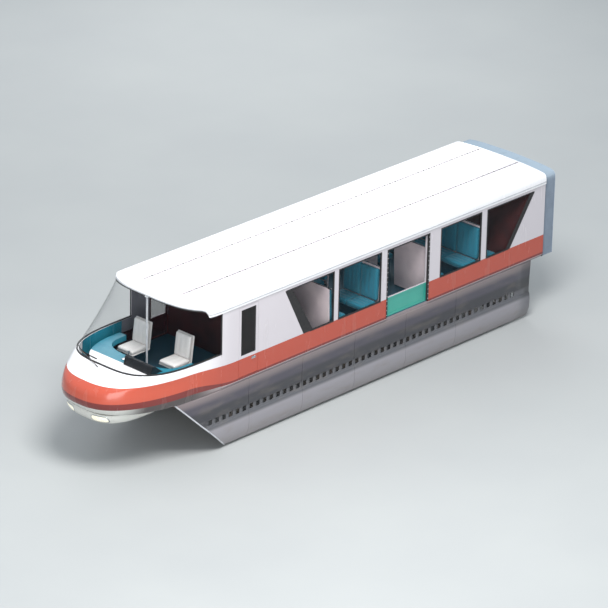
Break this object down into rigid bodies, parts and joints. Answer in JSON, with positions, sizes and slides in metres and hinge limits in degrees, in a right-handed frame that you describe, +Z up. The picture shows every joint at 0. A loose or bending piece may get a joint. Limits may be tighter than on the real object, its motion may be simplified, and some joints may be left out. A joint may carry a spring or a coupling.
{
  "type": "monorail lead car",
  "caption": "Lead car of a straddle-beam monorail train: rounded glazed nose and cab, saloon with sliding doors, skirts over bogies with load, guide and stabilising wheels.",
  "frame": {"origin": "middle of the bounding box's bottom face, on the floor that the bogies' feet stand on", "axes": "+X forward to the nose, +Y to the car's left side, +Z up"},
  "size_m": [13.21, 2.72, 3.425],
  "materials": {
    "body_white": "gloss paint",
    "stripe": "coral gloss paint",
    "skirt_grey": "satin paint",
    "fairing": "satin paint",
    "lamp": "clear lens over a reflector",
    "glass": "clear",
    "door_panel": "tinted",
    "steel": "primer paint",
    "tyre": "matt",
    "partition": "laminate",
    "bellows": "matt coated fabric",
    "seat_fabric": "woven",
    "cab_trim": "soft vinyl",
    "console": "grained"
  },
  "bodies": {
    "car": {"roof": "body_white", "side_wall_left": "body_white", "side_glass_left_rear": "glass", "side_glass_left_front": "glass", "skirt_left": "skirt_grey", "bench_b_left": "seat_fabric", "bench_c_left": "seat_fabric", "side_wall_right": "body_white", "side_glass_right_rear": "glass", "side_glass_right_front": "glass", "skirt_right": "skirt_grey", "bench_b_right": "seat_fabric", "bench_c_right": "seat_fabric", "nose_cowl": "stripe", "windshield": "glass", "chin_fairing": "fairing", "headlamp_left": "lamp", "headlamp_right": "lamp", "floor_deck": "steel", "underframe": "steel", "drawbar": "steel", "equipment_block": "steel", "wheel_housing_rear": "partition", "wheel_housing_front": "partition", "bellows": "bellows", "bench_a": "seat_fabric", "bench_d": "seat_fabric", "pilot_seat": "cab_trim", "second_seat": "cab_trim", "console": "console"},
    "bogie_rear": {"bogie_frame_rear": "steel"},
    "load_wheels_rear": {"load_axle_rear": "steel", "load_tyres_rear": "tyre"},
    "guide_wheel_rear_left_fore": {"guide_wheel_rear_left_fore": "tyre"},
    "guide_wheel_rear_left_aft": {"guide_wheel_rear_left_aft": "tyre"},
    "stabiliser_rear_left": {"stabiliser_rear_left": "tyre"},
    "guide_wheel_rear_right_fore": {"guide_wheel_rear_right_fore": "tyre"},
    "guide_wheel_rear_right_aft": {"guide_wheel_rear_right_aft": "tyre"},
    "stabiliser_rear_right": {"stabiliser_rear_right": "tyre"},
    "bogie_front": {"bogie_frame_front": "steel"},
    "load_wheels_front": {"load_axle_front": "steel", "load_tyres_front": "tyre"},
    "guide_wheel_front_left_fore": {"guide_wheel_front_left_fore": "tyre"},
    "guide_wheel_front_left_aft": {"guide_wheel_front_left_aft": "tyre"},
    "stabiliser_front_left": {"stabiliser_front_left": "tyre"},
    "guide_wheel_front_right_fore": {"guide_wheel_front_right_fore": "tyre"},
    "guide_wheel_front_right_aft": {"guide_wheel_front_right_aft": "tyre"},
    "stabiliser_front_right": {"stabiliser_front_right": "tyre"},
    "passenger_door_left": {"door_leaf_left": "body_white", "door_pane_left": "glass", "door_panel_left": "door_panel"},
    "cab_door_left": {"pilot_door_left": "body_white", "pilot_pane_left": "glass"},
    "passenger_door_right": {"door_leaf_right": "body_white", "door_pane_right": "glass", "door_panel_right": "door_panel"},
    "cab_door_right": {"pilot_door_right": "body_white", "pilot_pane_right": "glass"}
  },
  "joints": [
    {"name": "bogie_yaw_rear", "type": "hinge", "parent": "car", "child": "bogie_rear", "pos_m": [-5.505, 0, 1.4], "axis": [0, 0, 1], "range_deg": [-4, 4]},
    {"name": "load_spin_rear", "type": "hinge", "parent": "bogie_rear", "child": "load_wheels_rear", "pos_m": [-5.505, 0, 1.56], "axis": [0, 1, 0], "continuous": true},
    {"name": "guide_spin_rear_left_fore", "type": "hinge", "parent": "bogie_rear", "child": "guide_wheel_rear_left_fore", "pos_m": [-4.955, 0.55, 0.85], "axis": [0, 0, 1], "continuous": true},
    {"name": "guide_spin_rear_left_aft", "type": "hinge", "parent": "bogie_rear", "child": "guide_wheel_rear_left_aft", "pos_m": [-6.055, 0.55, 0.85], "axis": [0, 0, 1], "continuous": true},
    {"name": "stabiliser_spin_rear_left", "type": "hinge", "parent": "bogie_rear", "child": "stabiliser_rear_left", "pos_m": [-5.505, 0.55, 0.25], "axis": [0, 0, 1], "continuous": true},
    {"name": "guide_spin_rear_right_fore", "type": "hinge", "parent": "bogie_rear", "child": "guide_wheel_rear_right_fore", "pos_m": [-4.955, -0.55, 0.85], "axis": [0, 0, 1], "continuous": true},
    {"name": "guide_spin_rear_right_aft", "type": "hinge", "parent": "bogie_rear", "child": "guide_wheel_rear_right_aft", "pos_m": [-6.055, -0.55, 0.85], "axis": [0, 0, 1], "continuous": true},
    {"name": "stabiliser_spin_rear_right", "type": "hinge", "parent": "bogie_rear", "child": "stabiliser_rear_right", "pos_m": [-5.505, -0.55, 0.25], "axis": [0, 0, 1], "continuous": true},
    {"name": "bogie_yaw_front", "type": "hinge", "parent": "car", "child": "bogie_front", "pos_m": [2.135, 0, 1.4], "axis": [0, 0, 1], "range_deg": [-4, 4]},
    {"name": "load_spin_front", "type": "hinge", "parent": "bogie_front", "child": "load_wheels_front", "pos_m": [2.135, 0, 1.56], "axis": [0, 1, 0], "continuous": true},
    {"name": "guide_spin_front_left_fore", "type": "hinge", "parent": "bogie_front", "child": "guide_wheel_front_left_fore", "pos_m": [2.685, 0.55, 0.85], "axis": [0, 0, 1], "continuous": true},
    {"name": "guide_spin_front_left_aft", "type": "hinge", "parent": "bogie_front", "child": "guide_wheel_front_left_aft", "pos_m": [1.585, 0.55, 0.85], "axis": [0, 0, 1], "continuous": true},
    {"name": "stabiliser_spin_front_left", "type": "hinge", "parent": "bogie_front", "child": "stabiliser_front_left", "pos_m": [2.135, 0.55, 0.25], "axis": [0, 0, 1], "continuous": true},
    {"name": "guide_spin_front_right_fore", "type": "hinge", "parent": "bogie_front", "child": "guide_wheel_front_right_fore", "pos_m": [2.685, -0.55, 0.85], "axis": [0, 0, 1], "continuous": true},
    {"name": "guide_spin_front_right_aft", "type": "hinge", "parent": "bogie_front", "child": "guide_wheel_front_right_aft", "pos_m": [1.585, -0.55, 0.85], "axis": [0, 0, 1], "continuous": true},
    {"name": "stabiliser_spin_front_right", "type": "hinge", "parent": "bogie_front", "child": "stabiliser_front_right", "pos_m": [2.135, -0.55, 0.25], "axis": [0, 0, 1], "continuous": true},
    {"name": "passenger_door_slide_left", "type": "slide", "parent": "car", "child": "passenger_door_left", "axis": [-1, 0, 0], "range_m": [0, 1.4]},
    {"name": "cab_door_hinge_left", "type": "hinge", "parent": "car", "child": "cab_door_left", "pos_m": [3.292, 1.346, 2.3], "axis": [0, 0, -1], "range_deg": [0, 85]},
    {"name": "passenger_door_slide_right", "type": "slide", "parent": "car", "child": "passenger_door_right", "axis": [-1, 0, 0], "range_m": [0, 1.4]},
    {"name": "cab_door_hinge_right", "type": "hinge", "parent": "car", "child": "cab_door_right", "pos_m": [3.292, -1.346, 2.3], "axis": [0, 0, 1], "range_deg": [0, 85]}
  ]
}
